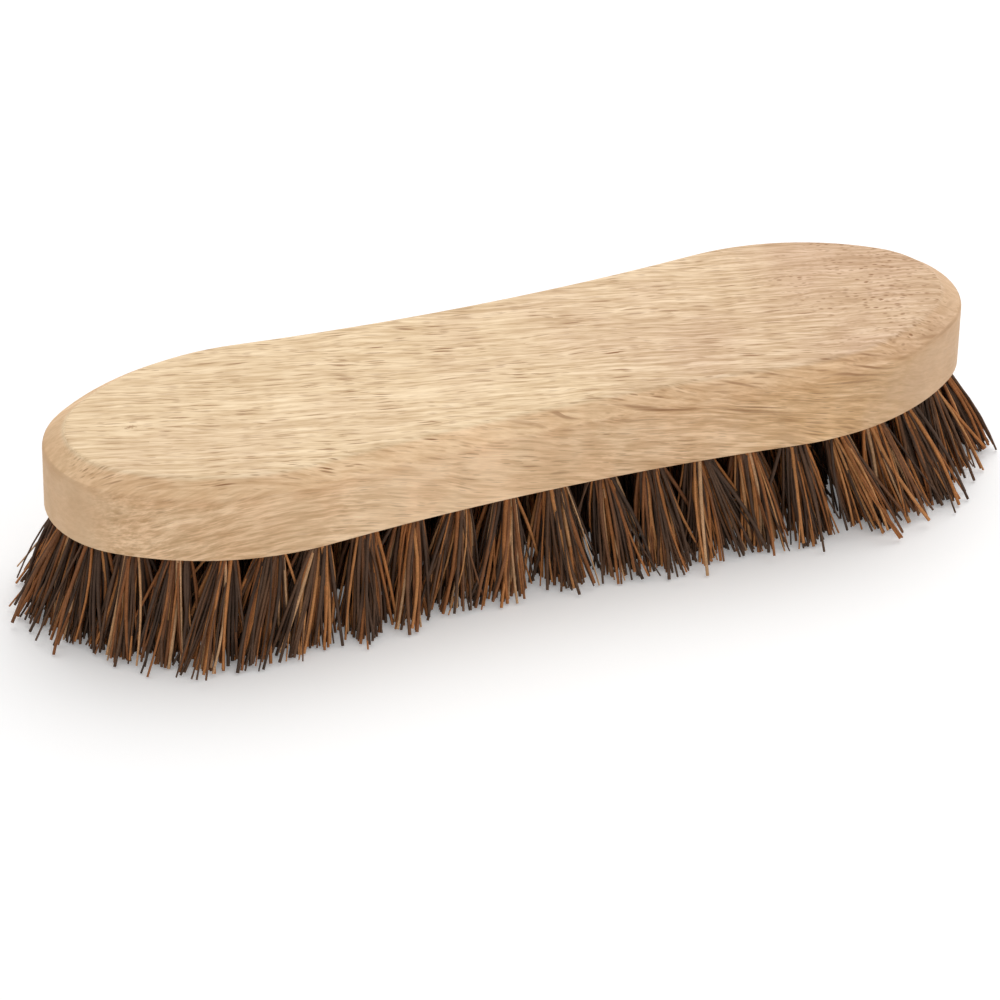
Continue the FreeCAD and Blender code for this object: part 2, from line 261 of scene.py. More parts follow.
@dataclass
class SurfaceEffects:
    """Shader node groups that more than one finish uses, each built once."""

    detail: float = 3.0
    line_rough: float = 0.6
    patch_rough: float = 0.55
    patch_range: tuple[float, float] = (0.3, 0.7)

    def __post_init__(self) -> None:
        """Build the groups."""
        self.grain = self._grain()
        self.mottle = self._mottle()

    def _start(self, name: str, inputs: dict[str, float]) -> tuple[Graph, Any, Socket]:
        """Open a group that reads a place and some numbers, and puts out one value.

        Args:
            name: The group's name.
            inputs: Default of each number, by name.

        Returns:
            The graph, what it is given, and the socket of its value.
        """
        tree = bpy.data.node_groups.new(name, "ShaderNodeTree")
        tree.interface.new_socket("Vector", in_out="INPUT", socket_type="NodeSocketVector")
        for label, default in inputs.items():
            socket = tree.interface.new_socket(label, in_out="INPUT", socket_type="NodeSocketFloat")
            socket.default_value = default
        tree.interface.new_socket("Value", in_out="OUTPUT", socket_type="NodeSocketFloat")
        graph = Graph(tree)
        return graph, graph.add("NodeGroupInput").outputs, graph.add("NodeGroupOutput").inputs["Value"]

    def _grain(self) -> bpy.types.NodeTree:
        """Fine lengthwise fibres of a material whose first coordinate runs along them.

        Returns:
            The group.
        """
        defaults = {"Length": 12.0, "Width": 0.4, "Contrast": 2.0}
        graph, given, value = self._start("lengthwise_grain", defaults)
        along = graph.math("DIVIDE", 1.0, given["Length"])
        across = graph.math("DIVIDE", 1.0, given["Width"])
        stretched = graph.vector("MULTIPLY", given["Vector"], graph.combine(along, across, across))
        centred = graph.math("SUBTRACT", graph.noise(stretched, self.detail, self.line_rough), 0.5)
        spread = graph.math("MULTIPLY", centred, given["Contrast"])
        graph.feed(value, graph.math("ADD", spread, 0.5, clamp=True))
        return graph.tree

    def _mottle(self) -> bpy.types.NodeTree:
        """Soft uneven patches.

        Returns:
            The group.
        """
        graph, given, value = self._start("soft_mottle", {"Size": 10.0, "Low": 0.0, "High": 1.0})
        shrunk = graph.scaled(given["Vector"], graph.math("DIVIDE", 1.0, given["Size"]))
        patches = graph.noise(shrunk, self.detail, self.patch_rough)
        graph.feed(value, graph.ease(patches, *self.patch_range, given["Low"], given["High"]))
        return graph.tree


class FinishGraph(Graph):
    """The node tree of one material, with a Principled shader at its end."""

    def __init__(self, name: str, effects: SurfaceEffects) -> None:
        """Start a material.

        Args:
            name: The material's name.
            effects: The shared node groups.
        """
        self.material = bpy.data.materials.new(name)
        self.material.use_nodes = True
        super().__init__(self.material.node_tree)
        self.effects = effects
        self.shader = self.add("ShaderNodeBsdfPrincipled")
        output = self.add("ShaderNodeOutputMaterial")
        self.tree.links.new(self.shader.outputs[0], output.inputs["Surface"])
        self.place = self.scaled(self.call("ShaderNodeTexCoord", {}, out="Object"), 1.0 / MM)

    def effect(self, group: bpy.types.NodeTree, **values: Any) -> Socket:
        """Place a shared effect."""
        return self.call("ShaderNodeGroup", values, out="Value", node_tree=group)

    def grain(self, vector: Any, lines: Lines) -> Socket:
        """Lengthwise lines between zero and one."""
        sizes = {"Length": lines.length, "Width": lines.width, "Contrast": lines.contrast}
        return self.effect(self.effects.grain, Vector=vector, **sizes)

    def lines(self, vector: Any, lines: Lines) -> Socket:
        """Lengthwise lines between their two values."""
        return self.ease(self.grain(vector, lines), 0.0, 1.0, lines.low, lines.high)

    def mottle(self, vector: Any, patches: Patches) -> Socket:
        """Soft patches between their two values."""
        sizes = {"Size": patches.size, "Low": patches.low, "High": patches.high}
        return self.effect(self.effects.mottle, Vector=vector, **sizes)

    def cells(self, vector: Any, length: float, width: float) -> Socket:
        """Coordinates that count lengths along the grain and widths across it."""
        return self.vector("MULTIPLY", vector, (1.0 / length, 1.0 / width, 1.0 / width))

    def shaded(self, colour: Any, shade: Any, warmth: Colour = (1.0, 1.0, 1.0)) -> Socket:
        """Multiply a colour by a shade, raised to a power in each channel."""
        channels = self.combine(*(self.math("POWER", shade, power) for power in warmth))
        return self.mix(1.0, colour, channels, blend="MULTIPLY")

    def surface(self, colour: Any, roughness: Any) -> None:
        """Set the shader's colour and roughness."""
        self.feed(self.shader.inputs["Base Color"], colour)
        self.feed(self.shader.inputs["Roughness"], roughness)

    def bump(self, height: Any, distance: float, strength: float) -> None:
        """Raise the surface by a height from zero to one, which stands out by a distance in metres."""
        inputs = {"Height": height, "Distance": distance, "Strength": strength}
        self.feed(self.shader.inputs["Normal"], self.call("ShaderNodeBump", inputs))


class WoodGraph(FinishGraph):
    """The nodes of a wood finish, with the measures of the block that its parts share, in millimetres."""

    def __init__(self, effects: SurfaceEffects, top: float, crease: float) -> None:
        """Start the finish.

        Args:
            effects: The shared node groups.
            top: Height of the block's back.
            crease: Height of the crease below the bevel.
        """
        super().__init__("bare_wood", effects)
        self.top = top
        self.crease = crease
        self.along, self.through, self.height = self.split(self.place)

    def run(self, span: Span) -> Socket:
        """Change with the distance to the right of the block's middle."""
        return self.span(self.along, span)

    def rise(self, level: float, span: Span) -> Socket:
        """Change with the height over a level."""
        return self.ease(self.height, level + span.start, level + span.end, span.first, span.last)


@dataclass(frozen=True)
class BareWood:
    """Sanded, unvarnished pale hardwood with open pores.

    Sizes are in millimetres and angles in degrees. A span lies along the block, to the right of its
    middle, where no comment says otherwise.
    """

    cream: Colour = (0.835, 0.630, 0.398)
    tan: Colour = (0.668, 0.452, 0.292)
    side: Colour = (0.850, 0.562, 0.330)
    side_deep: Colour = (0.815, 0.524, 0.277)
    bevel_shade: Colour = (0.950, 0.905, 0.860)
    pore: Colour = (0.300, 0.145, 0.060)
    warmth: Colour = (1.00, 1.30, 1.70)

    # Broad tones: tan to the right on the back, deeper and paler stretches of the sides, dull end grain.
    back_tone: Span = Span(-45.0, 112.0, 0.0, 0.9)
    back_patches: Patches = Patches(46.0, -0.3, 0.3)
    side_patches: Patches = Patches(9.0, 0.65, 0.95)
    deep_from: Span = Span(25.0, 65.0)
    deep_to: Span = Span(102.0, 84.0)
    pale_at: float = -32.0
    pale: Span = Span(8.0, 36.0, 1.14, 0.98)  # away from pale_at
    pale_patches: Patches = Patches(13.0, 0.94, 1.05)
    end_tone: Span = Span(80.0, 105.0, 0.91, 0.98)

    # Edges: where the back turns into the sides, the darker tone of the bevel, and painted shade as a
    # thin dark line in its crease.
    figure_turn: tuple[float, float] = (-0.8, -0.6)  # over the back, over the crease
    edge_turn: Span = Span(-0.1, -0.9)  # over the back
    edge_tone: Span = Span(70.0, 95.0, 0.6, 0.2)
    wall_turn: Span = Span(1.0, -0.6, 0.0, 0.4)  # over the crease
    bevel_top: Span = Span(-0.1, -1.2)  # over the back
    bevel_foot: Span = Span(-3.5, 0.0)  # over the crease
    bevel_left: Span = Span(-70.0, -95.0, 1.0, 1.9)
    bevel_patches: Patches = Patches(14.0, 0.3, 1.0)
    # Painted shade: a thin dark line along the crease below the bevel, round the right end.
    crease_shade_width: Span = Span(0.55, 0.1)  # away from the crease
    crease_shade_right: Span = Span(80.0, 98.0)
    crease_shade_patches: Patches = Patches(6.0, 0.35, 1.0)
    crease_shade_depth: float = 0.34

    # Course of the grain: its slope on the back, its arch on the sides, its sway, and where it dips.
    plan_slope: float = 15.0
    end_cut: Span = Span(0.2, 0.8, 1.0, 0.0)  # by how far the surface faces along the grain
    plan_depth: Span = Span(0.2, 1.0, 1.0, 0.35)  # by the share of open grain
    flank_depth: float = 0.45
    side_fall: float = 0.25
    arch_from: float = -40.0
    arch_rise: float = 0.0043
    slow_sway: Wave = Wave(60.0, 26.0, 9.0, 2.0)
    quick_sway: Wave = Wave(9.0, 5.0, 1.0, 1.0)
    curl: Span = Span(0.0, 1.0, 0.9, 3.0)  # by the dip
    dip: Span = Span(64.0, 92.0)
    dip_patches: Patches = Patches(22.0, -18.0, 18.0)

    # Grain lines, and how clear they are along the block and on its ends and sides.
    dashes: Lines = Lines(10.0, 0.9, 2.8, 0.87, 1.10)
    fine_lines: Lines = Lines(10.0, 0.405, 2.6, -0.07, 0.06)
    broad_lines: Lines = Lines(80.0, 2.6, 2.4, -0.08, 0.05)
    top_contrast: Span = Span(-25.0, 45.0, 1.05, 1.32)
    left_contrast: Span = Span(-62.0, -38.0, 1.4, 0.95)
    right_contrast: Span = Span(-10.0, 40.0, 0.0, 0.7)
    end_lines: Span = Span(0.0, 1.0, 0.2, 1.0)  # by the share of open grain
    side_lines: Span = Span(0.0, 1.0, 1.0, 0.85)  # by the share of the sides

    # Open pores, specks, brown streaks and the pin knot.
    long_pores: Marks = Marks(8.0, 0.62, 0.40)
    short_pores: Marks = Marks(8.0 / 2.2, 0.465, 0.45)
    short_depth: float = 0.75
    specks: Marks = Marks(1.9, 0.713, 0.0)
    mark_core: Span = Span(0.48, 0.18)  # away from the mark's middle
    crowd: Patches = Patches(17.0, 0.35, 1.0)
    top_pores: float = 1.15
    side_pores: float = 0.7
    side_share: Span = Span(-90.0, 30.0, 0.6, 1.25)
    end_pores: Span = Span(0.2, 1.0, 0.1, 1.0)  # by the share of open grain
    streaks: Marks = Marks(27.0, 0.9, 0.2)
    streak_depth: float = 0.3
    streak_top: Span = Span(-0.2, -1.2)  # over the back
    streak_foot: Span = Span(-9.0, -3.0)  # over the crease
    streak_right: Span = Span(-35.0, 15.0, 0.0, 0.8)
    knot: tuple[float, float] = (-94.6, 1.6)
    knot_size: tuple[float, float] = (1.9, 0.8)
    knot_edge: Span = Span(1.0, 0.4, 0.0, 0.7)  # away from the knot's middle, in knot sizes
    knot_patches: Patches = Patches(0.7, -0.3, 0.3)

    sheen: Patches = Patches(3.0, 0.6, 0.76)
    specular: float = 0.25
    relief: tuple[float, float] = (0.08 * MM, 0.25)

    def material(self, effects: SurfaceEffects, top: float, crease: float) -> bpy.types.Material:
        """Build the finish.

        Args:
            effects: The shared node groups.
            top: Height of the block's back.
            crease: Height of the crease below the bevel.

        Returns:
            The material.
        """
        graph = WoodGraph(effects, top, crease)
        open_grain = self._open_grain(graph)
        lines, pores = self._grain(graph, open_grain)
        colour = self._edges(graph, self._tone(graph, open_grain))
        colour = graph.mix(pores, graph.shaded(colour, lines, self.warmth), self.pore)
        graph.surface(colour, graph.mottle(graph.place, self.sheen))
        graph.shader.inputs["Specular IOR Level"].default_value = self.specular
        graph.bump(graph.math("SUBTRACT", lines, pores), *self.relief)
        return graph.material

    def _open_grain(self, graph: WoodGraph) -> Socket:
        """Tell surfaces that run along the grain from those that cut across the ends of the fibres.

        Args:
            graph: The material's nodes.

        Returns:
            One along the grain, zero on end grain.
        """
        facing = graph.call("ShaderNodeNewGeometry", {}, out="Normal")
        slope = math.radians(self.plan_slope)
        lengthwise = (math.cos(slope), -math.sin(slope), 0.0)
        across = graph.measure("DOT_PRODUCT", facing, lengthwise)
        return graph.span(graph.math("ABSOLUTE", across), self.end_cut)

    def _tone(self, graph: WoodGraph, open_grain: Any) -> Socket:
        """Broad colour: cream towards the left, tan towards the right, redder on the sides and end grain.

        Args:
            graph: The material's nodes.
            open_grain: Where the surface runs along the grain.

        Returns:
            The colour.
        """
        drift = graph.math("ADD", graph.mottle(graph.place, self.back_patches), graph.run(self.back_tone))
        back = graph.mix(graph.math("MAXIMUM", drift, 0.0, clamp=True), self.cream, self.tan)
        deep = graph.math("MULTIPLY", graph.run(self.deep_from), graph.run(self.deep_to))
        off_pale = graph.math("ABSOLUTE", graph.math("SUBTRACT", graph.along, self.pale_at))
        patches = graph.mottle(graph.place, self.pale_patches)
        pale = graph.math("MULTIPLY", graph.span(off_pale, self.pale), patches)
        flank = graph.shaded(graph.mix(deep, self.side, self.side_deep), pale, self.warmth)
        edge = graph.math("MULTIPLY", graph.rise(graph.top, self.edge_turn), graph.run(self.edge_tone))
        downward = graph.math("ADD", edge, graph.rise(graph.crease, self.wall_turn))
        share = graph.math("MULTIPLY", downward, graph.mottle(graph.place, self.side_patches))
        end_grain = graph.ease(open_grain, 0.0, 1.0, graph.run(self.end_tone), 1.0)
        return graph.shaded(graph.mix(share, back, flank), end_grain)

    def _edges(self, graph: WoodGraph, colour: Any) -> Socket:
        """Darken the bevel's tone, and paint shade as a thin dark line in the crease below it, round the
        right end.

        Args:
            graph: The material's nodes.
            colour: The broad colour.

        Returns:
            The colour with its edges.
        """
        bevel = graph.math(
            "MULTIPLY",
            graph.rise(graph.top, self.bevel_top),
            graph.rise(graph.crease, self.bevel_foot),
            graph.mottle(graph.place, self.bevel_patches),
            graph.run(self.bevel_left),
        )
        colour = graph.mix(bevel, colour, graph.mix(1.0, colour, self.bevel_shade, blend="MULTIPLY"))
        # Painted shade: a thin dark line in the crease below the bevel, round the right end, in the
        # pores' brown.
        away = graph.math("ABSOLUTE", graph.math("SUBTRACT", graph.height, graph.crease))
        line = graph.math(
            "MULTIPLY",
            graph.span(away, self.crease_shade_width),
            graph.run(self.crease_shade_right),
            graph.mottle(graph.place, self.crease_shade_patches),
            self.crease_shade_depth,
        )
        return graph.mix(line, colour, self.pore)

    def _grain(self, graph: WoodGraph, open_grain: Any) -> tuple[Socket, Socket]:
        """Grain lines and dark marks all over the block.

        Args:
            graph: The material's nodes.
            open_grain: Where the surface runs along the grain.

        Returns:
            The shade of the lines, and a mask of the pores, streaks and knot.
        """
        turn_from, turn_to = self.figure_turn
        sides = graph.ease(graph.height, graph.top + turn_from, graph.crease + turn_to)
        ragged = graph.math("ADD", graph.along, graph.mottle(graph.place, self.dip_patches))
        dip = graph.span(ragged, self.dip)
        plan = self._plan(graph, dip, open_grain)
        flank = self._flank(graph)
        top_lines, top_pores = self._figure(graph, plan, dip, self.top_pores)
        side_lines, side_pores = self._figure(graph, flank, 0.0, self.side_pores)
        top_lines = graph.math("POWER", top_lines, graph.run(self.top_contrast))
        uneven = graph.math("ADD", graph.run(self.left_contrast), graph.run(self.right_contrast))
        side_lines = graph.math("POWER", side_lines, uneven)
        side_pores = graph.math("MULTIPLY", side_pores, graph.run(self.side_share))
        lines = graph.between(sides, top_lines, side_lines)
        pores = graph.between(sides, top_pores, side_pores)
        clear = graph.span(open_grain, self.end_lines)
        clear = graph.math("MULTIPLY", clear, graph.span(sides, self.side_lines))
        lines = graph.between(clear, 1.0, lines)
        pores = graph.math("MAXIMUM", pores, self._streaks(graph, flank))
        pores = graph.math("MULTIPLY", pores, graph.span(open_grain, self.end_pores))
        return lines, graph.math("MAXIMUM", pores, self._knot(graph, sides))

    def _plan(self, graph: WoodGraph, dip: Any, open_grain: Any) -> Socket:
        """Coordinates of the figure on the back, which slopes across the block.

        Args:
            graph: The material's nodes.
            dip: Where the grain dips into the surface and curls more.
            open_grain: Where the surface runs along the grain.

        Returns:
            Coordinates along the figure, across it and through the block.
        """
        below_back = graph.vector("SUBTRACT", graph.place, (0.0, 0.0, graph.top))
        angles = (0.0, 0.0, math.radians(self.plan_slope))
        turned = graph.call("ShaderNodeMapping", {"Vector": below_back, "Rotation": angles})
        flattened = graph.combine(1.0, 1.0, graph.span(open_grain, self.plan_depth))
        return graph.vector("MULTIPLY", self._sway(graph, turned, dip), flattened)

    def _flank(self, graph: WoodGraph) -> Socket:
        """Coordinates of the figure on the sides, which arches over at the left and falls to the right.

        Args:
            graph: The material's nodes.

        Returns:
            Coordinates along the figure, through the block and across the figure.
        """
        past = graph.math("MINIMUM", graph.math("SUBTRACT", graph.along, self.arch_from), 0.0)
        arch = graph.math("MULTIPLY", past, past, self.arch_rise)
        fall = graph.math("MULTIPLY", graph.along, self.side_fall)
        arched = graph.combine(graph.along, graph.through, graph.math("ADD", graph.height, fall, arch))
        return graph.vector("MULTIPLY", self._sway(graph, arched, 0.0), (1.0, self.flank_depth, 1.0))

    def _sway(self, graph: WoodGraph, place: Any, dip: Any) -> Socket:
        """Coordinates whose lengthwise lines sway slowly and waver in short waves, as grain does.

        Args:
            graph: The material's nodes.
            place: Coordinates along and across the grain.
            dip: Where the grain dips into the surface and curls more.

        Returns:
            The swaying coordinates.
        """
        curled = graph.scaled(self._waver(graph, place, self.quick_sway), graph.span(dip, self.curl))
        return graph.vector("ADD", place, self._waver(graph, place, self.slow_sway), curled)

    def _waver(self, graph: WoodGraph, place: Any, wave: Wave) -> Socket:
        """How far the grain strays to either side.

        Args:
            graph: The material's nodes.
            place: Coordinates along and across the grain.
            wave: The size of the waves.

        Returns:
            The offset across the grain.
        """
        clouds = graph.noise(graph.cells(place, wave.length, wave.width), wave.detail, out="Color")
        centred = graph.vector("SUBTRACT", clouds, (0.5, 0.5, 0.5))
        return graph.vector("MULTIPLY", centred, (0.0, wave.reach, wave.reach))

    def _figure(self, graph: WoodGraph, lines: Any, dip: Any, strength: float) -> tuple[Socket, Socket]:
        """Grain lines and open pores of one cut through the wood.

        Args:
            graph: The material's nodes.
            lines: Coordinates along and across the grain.
            dip: Where the grain dips into the surface, so that pores show as specks.
            strength: How dark the pores are.

        Returns:
            The shade of the grain lines and the mask of the pores.
        """
        kinds = (self.dashes, self.fine_lines, self.broad_lines)
        shade = graph.math("ADD", *(graph.lines(lines, kind) for kind in kinds))
        sorts = (self.long_pores, self.short_pores, self.specks)
        long_pores, short_pores, specks = (self._marks(graph, lines, sort) for sort in sorts)
        short_pores = graph.math("MULTIPLY", short_pores, self.short_depth)
        pores = graph.between(dip, graph.math("MAXIMUM", long_pores, short_pores), specks)
        return shade, graph.math("MULTIPLY", pores, graph.mottle(lines, self.crowd), strength)

    def _streaks(self, graph: WoodGraph, lines: Any) -> Socket:
        """Long brown streaks on and below the bevel, right of the middle.

        Args:
            graph: The material's nodes.
            lines: Coordinates along and across the grain of the sides.

        Returns:
            A mask of the streaks.
        """
        unbroken = graph.vector("MULTIPLY", lines, (1.0, self.streak_depth, 1.0))
        return graph.math(
            "MULTIPLY",
            self._marks(graph, unbroken, self.streaks),
            graph.rise(graph.top, self.streak_top),
            graph.rise(graph.crease, self.streak_foot),
            graph.run(self.streak_right),
        )

    def _marks(self, graph: WoodGraph, vector: Any, marks: Marks) -> Socket:
        """Scattered spindle-shaped marks.

        Args:
            graph: The material's nodes.
            vector: Coordinates along and across the grain.
            marks: The room for each mark and the share of empty places.

        Returns:
            A mask of the marks.
        """
        scatter = graph.add("ShaderNodeTexVoronoi", feature="F1")
        graph.feed(scatter.inputs["Vector"], graph.cells(vector, marks.length, marks.width))
        graph.feed(scatter.inputs["Scale"], 1.0)
        chance = graph.call("ShaderNodeSeparateColor", {0: scatter.outputs["Color"]})
        core = graph.span(scatter.outputs["Distance"], self.mark_core)
        return graph.math("MULTIPLY", core, graph.ease(chance, marks.empty, 1.0))

    def _knot(self, graph: WoodGraph, sides: Any) -> Socket:
        """Small dark pin knot near the left end of the back.

        Args:
            graph: The material's nodes.
            sides: Where the sides are, which the knot leaves out.

        Returns:
            A mask of the knot.
        """
        offset = graph.vector("SUBTRACT", graph.place, (*self.knot, 0.0))
        length, width = self.knot_size
        shape = graph.vector("MULTIPLY", offset, (1.0 / length, 1.0 / width, 0.0))
        distance = graph.measure("LENGTH", shape)
        ragged = graph.math("ADD", distance, graph.mottle(graph.place, self.knot_patches))
        on_back = graph.math("SUBTRACT", 1.0, sides)
        return graph.math("MULTIPLY", graph.span(ragged, self.knot_edge), on_back)


@dataclass(frozen=True)
class PlantFibre:
    """Stiff natural plant fibre, each strand of its own brown. Sizes in millimetres."""

    streaks: Lines = Lines(9.0, 0.16, 2.4, 0.72, 1.2)
    patches: Patches = Patches(4.0, 0.85, 1.12)
    sheen: Patches = Patches(2.0, 0.58, 0.78)
    specular: float = 0.1
    relief: tuple[float, float] = (0.04 * MM, 0.4)

    def material(self, effects: SurfaceEffects) -> bpy.types.Material:
        """Build the finish.

        Args:
            effects: The shared node groups.

        Returns:
            The material.
        """
        graph = FinishGraph("plant_fibre", effects)
        along, through, height = graph.split(graph.place)
        streaks = graph.grain(graph.combine(height, along, through), self.streaks)
        lighter = graph.ease(streaks, 0.0, 1.0, self.streaks.low, self.streaks.high)
        shade = graph.math("MULTIPLY", lighter, graph.mottle(graph.place, self.patches))
        graph.surface(graph.shaded(self._brown(graph), shade), graph.mottle(graph.place, self.sheen))
        graph.shader.inputs["Specular IOR Level"].default_value = self.specular
        graph.bump(streaks, *self.relief)
        return graph.material

    def _brown(self, graph: FinishGraph) -> Socket:
        """Colour of each strand by its tint.

        Args:
            graph: The material's nodes.

        Returns:
            The colour.
        """
        ramp = graph.add("ShaderNodeValToRGB")
        ramp.color_ramp.interpolation = "LINEAR"
        stops = ramp.color_ramp.elements
        for tone in FibreTone:
            share, colour = tone.value
            stop = stops[0] if share == 0.0 else stops.new(share)
            stop.position = share
            stop.color = (*colour, 1.0)
        stops.remove(stops[-1])
        tint = graph.call("ShaderNodeAttribute", {}, out="Fac", attribute_name="tint")
        graph.feed(ramp.inputs[0], tint)
        return ramp.outputs[0]


@dataclass(frozen=True)
class DullSteel:
    """Drawn staple wire, dull grey with fine lines along it. Sizes in millimetres."""

    colour: Colour = (0.42, 0.42, 0.43)
    tarnish: Colour = (0.26, 0.23, 0.20)
    spots: Patches = Patches(1.6, 0.0, 0.8)
    sheen: Patches = Patches(0.7, 0.32, 0.55)
    drawn: Lines = Lines(6.0, 0.08, 2.0)
    relief: tuple[float, float] = (0.02 * MM, 0.3)

    def material(self, effects: SurfaceEffects) -> bpy.types.Material:
        """Build the finish.

        Args:
            effects: The shared node groups.

        Returns:
            The material.
        """
        graph = FinishGraph("dull_steel", effects)
        colour = graph.mix(graph.mottle(graph.place, self.spots), self.colour, self.tarnish)
        graph.surface(colour, graph.mottle(graph.place, self.sheen))
        graph.shader.inputs["Metallic"].default_value = 1.0
        graph.bump(graph.grain(graph.place, self.drawn), *self.relief)
        return graph.material


@dataclass
class WoodenBlock:
    """The shaped block, as the CAD node holds it. Sizes in millimetres."""

    node: str = "wooden_block"
    bevel_height: float = 3.6

    def dress(self, effects: SurfaceEffects) -> str:
        """Give the block its wood.

        Args:
            effects: The shared node groups.

        Returns:
            The node's name.
        """
        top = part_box(self.node)[1].z / MM
        wood = BareWood().material(effects, top, top - self.bevel_height)
        dress_node(self.node, wood)
        return self.node


@dataclass
class Staples:
    """Wire staples across the folds of the tufts, as the CAD nodes hold them."""

    prefix: str = "staple_row_"

    def dress(self, effects: SurfaceEffects) -> list[str]:
        """Give every row of staples its steel.

        Args:
            effects: The shared node groups.

        Returns:
            The nodes' names.
        """
        steel = DullSteel().material(effects)
        names = sorted(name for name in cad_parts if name.startswith(self.prefix))
        for name in names:
            dress_node(name, steel)
        return names


class FibreGraph(Graph):
    """The Geometry Nodes of the fibres, with their random draws and stored values."""

    seed_room: float = 50.0

    def __init__(self, tree: bpy.types.NodeTree) -> None:
        """Start a tree whose sockets are made.

        Args:
            tree: The node tree.
        """
        super().__init__(tree)
        self.given = self.add("NodeGroupInput").outputs
        self.draws = 0

    def chance(self, low: float, high: float, owner: Any = None) -> Socket:
        """Draw a random number, with a seed of its own.

        Args:
            low: The lowest number.
            high: The highest number.
            owner: What shares one draw, where that isn't each fibre by itself.

        Returns:
            The number.
        """
        self.draws += 1
        first_seed = self.math("MULTIPLY", self.given["Seed"], self.seed_room)
        inputs = {2: low, 3: high, "Seed": self.math("ADD", first_seed, float(self.draws))}
        if owner is not None:
            inputs["ID"] = owner
        return self.call("FunctionNodeRandomValue", inputs, out=1, data_type="FLOAT")

    def offset(self, across: float = 1.0, owner: Any = None) -> Socket:
        """A random level offset, by up to one lengthwise and up to a share of that across."""
        return self.combine(self.chance(-1.0, 1.0, owner), self.chance(-across, across, owner), 0.0)

    def polar(self, turn: Any, reach: Any, height: Any = 0.0) -> Socket:
        """A place at a reach from the axis, by its turn round it and its height."""
        sideways = (self.math("MULTIPLY", self.math(way, turn), reach) for way in ("COSINE", "SINE"))
        return self.combine(*sideways, height)

    def named(self, label: str, kind: str = "FLOAT") -> Socket:
        """A stored value."""
        return self.call("GeometryNodeInputNamedAttribute", {"Name": label}, data_type=kind)

    def store(
        self, geometry: Any, label: str, value: Any, kind: str = "FLOAT", domain: str = "POINT"
    ) -> Socket:
        """Store a value on a geometry."""
        inputs = {"Geometry": geometry, "Name": label, "Value": value}
        return self.call("GeometryNodeStoreNamedAttribute", inputs, data_type=kind, domain=domain)


